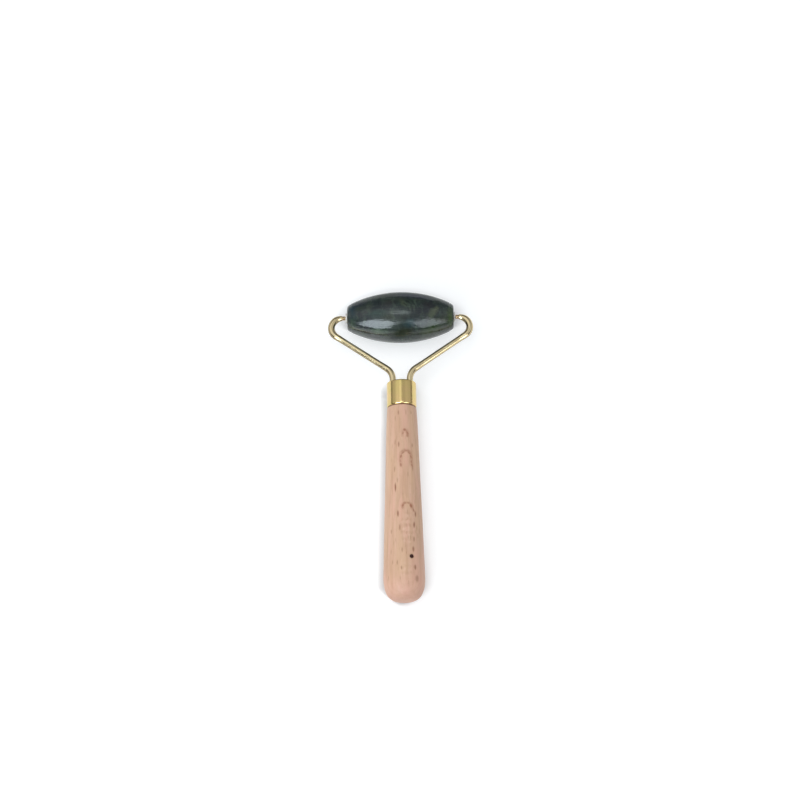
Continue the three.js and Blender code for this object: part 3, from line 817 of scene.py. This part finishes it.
    # the short dark flecks of beech
    near = t.voronoi(t.object_mm(scale=(1.0, 0.19, 1.0), move=(0.3, 0.0, 0.7)), 0.86)
    fleck = t.range(near, 0.10, 0.27, 1.0, 0.0, smooth=True)
    keep = t.range(t.noise(t.object_mm(scale=(1, 0.3, 1), move=(9, 2, 5)), 0.35, 2, 0.5), 0.46, 0.60, 0.1, 1.0)
    fleck = t.math("MULTIPLY", fleck, keep)
    small = t.range(t.voronoi(t.object_mm(scale=(1.0, 0.14, 1.0), move=(5, 3, 1)), 1.9), 0.10, 0.26, 0.55, 0.0, smooth=True)
    flecks = t.math("MAXIMUM", fleck, t.math("MULTIPLY", small, 0.8))
    flecks = t.math("MULTIPLY", flecks, t.math("ADD", t.math("MULTIPLY", late, 0.6), 0.32), clamp=True)
    for at, size, strength in FLECKS:
        flecks = t.math("MAXIMUM", flecks, t.math("MULTIPLY", t.spot((at[0], at[1], 6.8), (size[0] * 1.5, size[1] * 1.15, 3.0), 0, 0.25, of=loose), strength))
    colour = t.mix(t.math("MULTIPLY", flecks, 0.85), colour, srgb(152, 94, 68))
    # painted highlight: the end of the handle is drawn lighter and pinker; painted shade: it is drawn darker right
    # round the end
    colour = t.mix(t.range(y, -115, -107, 0.35, 0.0, smooth=True), colour, srgb(228, 176, 158))
    colour = t.mix(t.range(y, -118.3, -113.0, 0.3, 0.0, smooth=True), colour, srgb(186, 138, 120))
    # painted shade: a dark line on the wood where it meets the ferrule's lip
    colour = t.mix(t.range(y, -39.62, -39.32, 0.0, 0.75, smooth=True), colour, srgb(112, 74, 48))
    # the little knot
    gap = t.node("ShaderNodeVectorMath", operation="DISTANCE")
    t.links.new(base, gap.inputs[0])
    gap.inputs[1].default_value = KNOT
    d = t.math("ADD", gap.outputs["Value"], t.math("MULTIPLY", t.math("SUBTRACT", t.noise(base, 1.6, 3, 0.6), 0.5), 0.3))
    ringed = t.range(d, 0.75, 1.35, 0.45, 0.0, smooth=True)
    colour = t.mix(ringed, colour, srgb(176, 126, 100))
    colour = t.mix(t.range(d, 0.72, 0.92, 1.0, 0.0, smooth=True), colour, srgb(52, 22, 14))
    t.links.new(colour, t.bsdf.inputs["Base Color"])
    t.links.new(t.range(streak, 0.3, 0.7, 0.58, 0.46), t.bsdf.inputs["Roughness"])
    t.bsdf.inputs["IOR"].default_value = 1.45
    t.bsdf.inputs["Specular IOR Level"].default_value = 0.3
    relief = t.math("SUBTRACT", t.math("MULTIPLY", fine, 0.35), flecks)
    t.links.new(t.bump(relief, 0.035, 0.8), t.bsdf.inputs["Normal"])
    return t.material


def mat_brass(name, a, b, rough, along=True, lines=0.25, bump=0.004, painted_flank_shade=None):
    """Polished brass: slight drift of colour, polishing lines round or along the piece, and uneven gloss. With the
    flank shade option, the flanks and underside are painted a darker brown as painted shade (less of it where they face
    +x) and are rougher, and the upper side keeps the polish."""
    t = Tree(name)
    drift = t.noise(t.object_mm(), 0.22, 3, 0.5)
    colour = t.mix(t.range(drift, 0.35, 0.65, 0.0, 1.0), a, b)
    smear = t.noise(t.object_mm(), 0.9, 4, 0.6)
    # painted shade: by the surface's normal, the flanks and underside are drawn darker brown, and less so where they
    # face +x
    if painted_flank_shade:
        co = t.node("ShaderNodeTexCoord")
        parts = t.node("ShaderNodeSeparateXYZ")
        t.links.new(co.outputs["Normal"], parts.inputs[0])
        slow = t.noise(t.object_mm(), 0.16, 2, 0.5)
        up = t.math("ADD", parts.outputs[2], t.math("MULTIPLY", t.math("SUBTRACT", slow, 0.5), 0.12))
        up = t.math("ADD", up, t.range(parts.outputs[0], 0.15, 0.4, 0.0, 0.3, smooth=True))
        colour = t.mix(t.range(up, 0.56, 0.78, painted_flank_shade[1], 0.0, smooth=True), colour, painted_flank_shade[0])
    t.links.new(colour, t.bsdf.inputs["Base Color"])
    t.bsdf.inputs["Metallic"].default_value = 1.0
    scale = (12.0, 0.12, 1.0) if along else (0.35, 14.0, 1.0)
    brush = t.noise(t.uv_mm(scale=scale), 1.0, 5, 0.65)
    r = t.math("ADD", t.range(smear, 0.3, 0.7, rough, rough + (0.03 if painted_flank_shade else 0.09)), t.math("MULTIPLY", brush, 0.02 if painted_flank_shade else 0.05))
    if painted_flank_shade:
        r = t.math("ADD", r, t.range(up, 0.56, 0.78, 0.16, 0.0, smooth=True))
    t.links.new(r, t.bsdf.inputs["Roughness"])
    t.links.new(t.bump(brush, bump, lines), t.bsdf.inputs["Normal"])
    return t.material


def mat_nylon():
    t = Tree("nylon_cream")
    n = t.noise(t.object_mm(), 1.4, 3, 0.5)
    colour = t.mix(t.range(n, 0.3, 0.7, 0.0, 1.0), srgb(243, 242, 237), srgb(234, 232, 224))
    t.links.new(colour, t.bsdf.inputs["Base Color"])
    t.links.new(t.range(n, 0.3, 0.7, 0.42, 0.55), t.bsdf.inputs["Roughness"])
    t.bsdf.inputs["Subsurface Weight"].default_value = 0.2
    t.bsdf.inputs["Subsurface Radius"].default_value = (1.0, 0.8, 0.6)
    t.bsdf.inputs["Subsurface Scale"].default_value = 0.0006
    t.links.new(t.bump(t.noise(t.object_mm(), 9.0, 3, 0.5), 0.01, 0.3), t.bsdf.inputs["Normal"])
    return t.material


def mat_steel():
    t = Tree("steel_zinc")
    n = t.noise(t.object_mm(scale=(1, 0.3, 1)), 1.3, 4, 0.6)
    t.links.new(t.mix(t.range(n, 0.3, 0.7, 0.0, 1.0), srgb(176, 172, 164), srgb(196, 193, 186)), t.bsdf.inputs["Base Color"])
    t.bsdf.inputs["Metallic"].default_value = 1.0
    t.links.new(t.range(n, 0.3, 0.7, 0.28, 0.42), t.bsdf.inputs["Roughness"])
    t.links.new(t.bump(n, 0.01, 0.4), t.bsdf.inputs["Normal"])
    return t.material


def mat_slug():
    t = Tree("brass_turned")
    n = t.noise(t.object_mm(scale=(1, 6, 1)), 0.8, 4, 0.6)
    t.links.new(t.mix(t.range(n, 0.3, 0.7, 0.0, 1.0), srgb(206, 178, 118), srgb(190, 160, 98)), t.bsdf.inputs["Base Color"])
    t.bsdf.inputs["Metallic"].default_value = 1.0
    t.links.new(t.range(n, 0.3, 0.7, 0.3, 0.42), t.bsdf.inputs["Roughness"])
    t.links.new(t.bump(n, 0.01, 0.4), t.bsdf.inputs["Normal"])
    return t.material


# how far the contact shadow reaches, in millimetres, along the fork's y axis
CONTACT_REACH = [
    (-130, 2.6), (-115.5, 2.6), (-111, 5.6), (-100, 5.8), (-80, 6.3), (-60, 6.7), (-44, 7.05), (-24, 7.4),
    (-20, 1.0), (-6, 1.0), (-1, 5.2), (3, 9.5), (20, 11.0),
]


def mat_floor():
    """A white sweep lit from behind as well as from above."""
    t = Tree("floor_white")
    n = t.noise(t.object_mm(), 0.02, 2, 0.5)
    t.links.new(t.mix(t.range(n, 0.3, 0.7, 0.0, 1.0), (0.55, 0.555, 0.56), (0.57, 0.575, 0.58)), t.bsdf.inputs["Base Color"])
    t.bsdf.inputs["Roughness"].default_value = 0.9
    t.bsdf.inputs["Specular IOR Level"].default_value = 0.1
    t.bsdf.inputs["Emission Color"].default_value = (0.955, 0.98, 1.0, 1.0)
    # the glow from below dies away close to the handle, the ferrule and the stone, which leaves a narrow contact shadow
    part = t.node("ShaderNodeSeparateXYZ")
    t.links.new(t.object_mm(), part.inputs[0])
    along = t.range(part.outputs[1], -130.0, 20.0, 0.0, 1.0)
    ramp = t.node("ShaderNodeValToRGB")
    t.links.new(along, ramp.inputs[0])
    stops = ramp.color_ramp.elements
    for i, (y, reach) in enumerate(CONTACT_REACH):
        at = (y + 130.0) / 150.0
        stop = stops[i] if i < 2 else stops.new(at)
        stop.position = at
        stop.color = (reach / 12.0, reach / 12.0, reach / 12.0, 1.0)
    occlusion = t.node("ShaderNodeAmbientOcclusion", samples=16)
    t.links.new(t.math("MULTIPLY", ramp.outputs[0], 0.012), occlusion.inputs["Distance"])
    # the lamps already leave a shadow on the right of the handle, so there the contact shadow is faint
    right = t.math("MULTIPLY", t.range(part.outputs[0], -2.0, 3.0, 0.0, 1.0), t.range(part.outputs[1], -106.0, -88.0, 0.6, 0.82))
    weight = t.math("MAXIMUM", t.math("SUBTRACT", 1.0, right), t.range(part.outputs[1], -22.0, -17.0, 0.0, 1.0))
    # and the ferrule stands higher off the floor, so its shadow is drawn a little stronger
    weight = t.math("MULTIPLY", weight, t.range(part.outputs[1], -75.0, -36.0, 1.0, 1.55))
    weight = t.math("MULTIPLY", weight, t.range(part.outputs[1], -31.5, -27.0, 1.0, 3.4))
    weight = t.math("MULTIPLY", weight, t.range(part.outputs[1], -22.0, -17.0, 1.0, 0.19))
    lost = t.math("MINIMUM", t.math("MULTIPLY", t.range(occlusion.outputs["AO"], 0.55, 1.0, 0.60, 0.0), weight), 0.45)
    t.links.new(t.math("SUBTRACT", 0.60, lost), t.bsdf.inputs["Emission Strength"])
    return t.material


def wear(obj, material):
    obj.data.materials.clear()
    obj.data.materials.append(material)


# ---------------------------------------------------------------- build

jade = mat_jade()
beech = mat_beech()
FERRULE_A, FERRULE_B = (0.75, 0.54, 0.25), (0.70, 0.55, 0.22)
brass_ferrule = mat_brass("brass_ferrule", FERRULE_A, FERRULE_B, 0.09, along=False, lines=0.22)
# the wires get painted shade on their flanks and underside
brass_wire = mat_brass(
    "brass_wire", (0.77, 0.65, 0.40), (0.72, 0.59, 0.35), 0.11, along=True, lines=0.03, painted_flank_shade=((0.25, 0.19, 0.10), 0.8)
)
# painted shade: the pins' brass is drawn dark brown, as for pins in shadow at the stone's ends
brass_pin_painted_shade = mat_brass("brass_pin_painted_shade", (0.44, 0.31, 0.18), (0.38, 0.27, 0.16), 0.20, along=False, lines=0.3)
nylon = mat_nylon()

stone = make_stone()
wear(stone, jade)
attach(stone, "roller")
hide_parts("jade_roller")

handle = make_handle()
wear(handle, beech)
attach(handle, "handle_fork")
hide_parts("wooden_handle")

cup = make_ferrule()
wear(cup, brass_ferrule)
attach(cup, "handle_fork")
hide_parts("ferrule")

for side, word in ((-1, "left"), (1, "right")):
    arm = make_arm(f"{word}_wire", side)
    wear(arm, brass_wire)
    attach(arm, "handle_fork")
    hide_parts(f"{word}_fork_arm")

    pin = make_pin(f"{word}_pin", side)
    wear(pin, brass_pin_painted_shade)
    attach(pin, "handle_fork")
    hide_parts(f"{word}_axle_pin")

    bush = make_bush(f"{word}_nylon_bush", side)
    wear(bush, nylon)
    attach(bush, "roller")
    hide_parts(f"{word}_bush")

wear(frame["nodes"]["fork_socket"], mat_slug())
wear(frame["nodes"]["hanger_stud"], mat_steel())

# ---------------------------------------------------------------- floor, light and camera

bm = bmesh.new()
bmesh.ops.create_grid(bm, x_segments=2, y_segments=2, size=4.0)
mesh = bpy.data.meshes.new("floor")
bm.to_mesh(mesh)
bm.free()
floor = bpy.data.objects.new("floor", mesh)
floor.location = (0, 0, -0.00002)
bpy.context.scene.collection.objects.link(floor)
wear(floor, mat_floor())

world = bpy.data.worlds.new("studio")
bpy.context.scene.world = world
world.use_nodes = True


def studio_sky(tree):
    """A dim room with a pale ceiling: brightest overhead, a little more light from the left than from the right."""
    nodes, links = tree.nodes, tree.links

    def op(operation, a, b=None, clamp=False):
        n = nodes.new("ShaderNodeMath")
        n.operation, n.use_clamp = operation, clamp
        for i, v in enumerate((a, b)):
            if v is None:
                continue
            if isinstance(v, bpy.types.NodeSocket):
                links.new(v, n.inputs[i])
            else:
                n.inputs[i].default_value = v
        return n.outputs[0]

    def ease(v, a, b, c, d):
        n = nodes.new("ShaderNodeMapRange")
        n.interpolation_type = "SMOOTHSTEP"
        links.new(v, n.inputs["Value"])
        for k, w in (("From Min", a), ("From Max", b), ("To Min", c), ("To Max", d)):
            n.inputs[k].default_value = w
        return n.outputs[0]

    co = nodes.new("ShaderNodeTexCoord")
    parts = nodes.new("ShaderNodeSeparateXYZ")
    links.new(co.outputs["Generated"], parts.inputs[0])
    x, y, z = parts.outputs
    walls = ease(op("ABSOLUTE", x), 0.3, 0.9, 0.0, SKY["walls"])
    walls = op("MULTIPLY", walls, ease(y, -0.4, 0.1, 0.1, 1.0))
    walls = op("MULTIPLY", walls, ease(z, 0.1, 0.45, 0.35, 1.0))
    walls = op("MULTIPLY", walls, ease(x, -0.5, 0.5, 1.15, 1.1))
    ceiling = ease(z, 0.5, 0.88, 0.0, SKY["ceiling"])
    ceiling = op("MULTIPLY", ceiling, ease(y, 0.35, 0.7, 1.0, 0.35))
    ceiling = op("MULTIPLY", ceiling, ease(x, -0.3, 0.15, 1.15, 0.66))
    room = ease(y, -0.6, 0.0, SKY["room"] * 0.6, SKY["room"])
    total = op("ADD", op("ADD", walls, ceiling), room)
    lamp = op("MULTIPLY", ease(x, -0.42, -0.08, 0.0, 1.0), ease(x, -0.03, 0.0, 1.0, 0.0))
    lamp = op("MULTIPLY", lamp, ease(z, 0.80, 0.93, 0.0, SKY["lamp"]))
    total = op("ADD", total, lamp)
    # past the floor's edge the room itself is seen as a pale backdrop
    seen = nodes.new("ShaderNodeLightPath").outputs["Is Camera Ray"]
    total = op("ADD", op("MULTIPLY", total, op("SUBTRACT", 1.0, seen)), op("MULTIPLY", seen, 0.93))
    ground = nodes["Background"]
    ground.inputs["Color"].default_value = (0.97, 0.985, 1.0, 1)
    links.new(total, ground.inputs["Strength"])


SKY = {"room": 0.12, "walls": 0.46, "ceiling": 0.64, "lamp": 0.34}
studio_sky(world.node_tree)

MIDDLE = Vector((0, 0.01, 0.01))


def softbox(
    name, azimuth, elevation, distance, width, height, radiance, colour=(1, 1, 1), shape="RECTANGLE", glossy=True, diffuse=True
):
    """A soft light aimed at the roller. Azimuth 0 is over the butt (-Y), 90 is +X, 180 is +Y."""
    az, el = math.radians(azimuth), math.radians(elevation)
    d = Vector((math.sin(az) * math.cos(el), -math.cos(az) * math.cos(el), math.sin(el)))
    light = bpy.data.lights.new(name, "AREA")
    light.shape = shape
    light.size, light.size_y = width, height
    light.energy = radiance * math.pi * width * height * (math.pi / 4 if shape == "ELLIPSE" else 1)
    light.color = colour
    obj = bpy.data.objects.new(name, light)
    bpy.context.scene.collection.objects.link(obj)
    obj.location = MIDDLE + d * distance
    obj.rotation_euler = (-d).to_track_quat("-Z", "Y").to_euler()
    obj.visible_glossy = glossy
    obj.visible_diffuse = diffuse
    return obj


# the two windows: what the polish shows of them, and what they give the matt surfaces
softbox("window_left", -28.8, 33, 1.2, 0.65, 0.86, 8.4, (0.82, 0.93, 1.0), diffuse=False)
softbox("window_right", 33, 33, 1.2, 0.60, 0.78, 4.0, (0.86, 0.95, 1.0), diffuse=False)
softbox("window_left_spill", -34, 36, 1.2, 0.60, 0.86, 3.0, (0.93, 0.97, 1.0), glossy=False)
softbox("window_right_spill", 33, 33, 1.2, 0.60, 0.78, 0.6, (0.93, 0.97, 1.0), glossy=False)
softbox("side_panel", 53, 30, 1.2, 0.22, 0.62, 1.6, (1.0, 0.98, 0.93), diffuse=False)
softbox("lamp_top", 180, 86, 1.2, 0.42, 0.34, 3.0, (0.86, 0.97, 0.97), shape="ELLIPSE", diffuse=False)
softbox("fill_top", -60, 80, 1.6, 1.4, 1.4, 1.25, glossy=False)

# The camera: 900 mm from its aim, tipped 20 degrees off the fork's plane towards the butt, rolled by under a degree.
D, F = 900.0, 2250.0
PHI, ROLL = math.radians(20.0), math.radians(0.85)
AIM = Vector((-0.66, -35.52, 0.0))
back = Vector((0, -math.sin(PHI), math.cos(PHI)))
up0 = Vector((0, math.cos(PHI), math.sin(PHI)))
right0 = Vector((1, 0, 0))
right = math.cos(ROLL) * right0 - math.sin(ROLL) * up0
up = math.sin(ROLL) * right0 + math.cos(ROLL) * up0
tip = Matrix.Rotation(TIP_DOWN, 3, "X")
right, up, back = tip @ right, tip @ up, tip @ back
where = FORK @ (AIM * MM) + back * D * MM
camera_data = bpy.data.cameras.new("camera")
camera_data.sensor_width = 36.0
camera_data.lens = 36.0 * F / 800.0
camera_data.clip_start, camera_data.clip_end = 0.01, 20
camera = bpy.data.objects.new("camera", camera_data)
bpy.context.scene.collection.objects.link(camera)
m = Matrix.Identity(4)
for i in range(3):
    m[i][0], m[i][1], m[i][2], m[i][3] = right[i], up[i], back[i], where[i]
camera.matrix_world = m
bpy.context.scene.camera = camera
bpy.context.scene.view_settings.view_transform = "Standard"
bpy.context.scene.view_settings.look = "None"
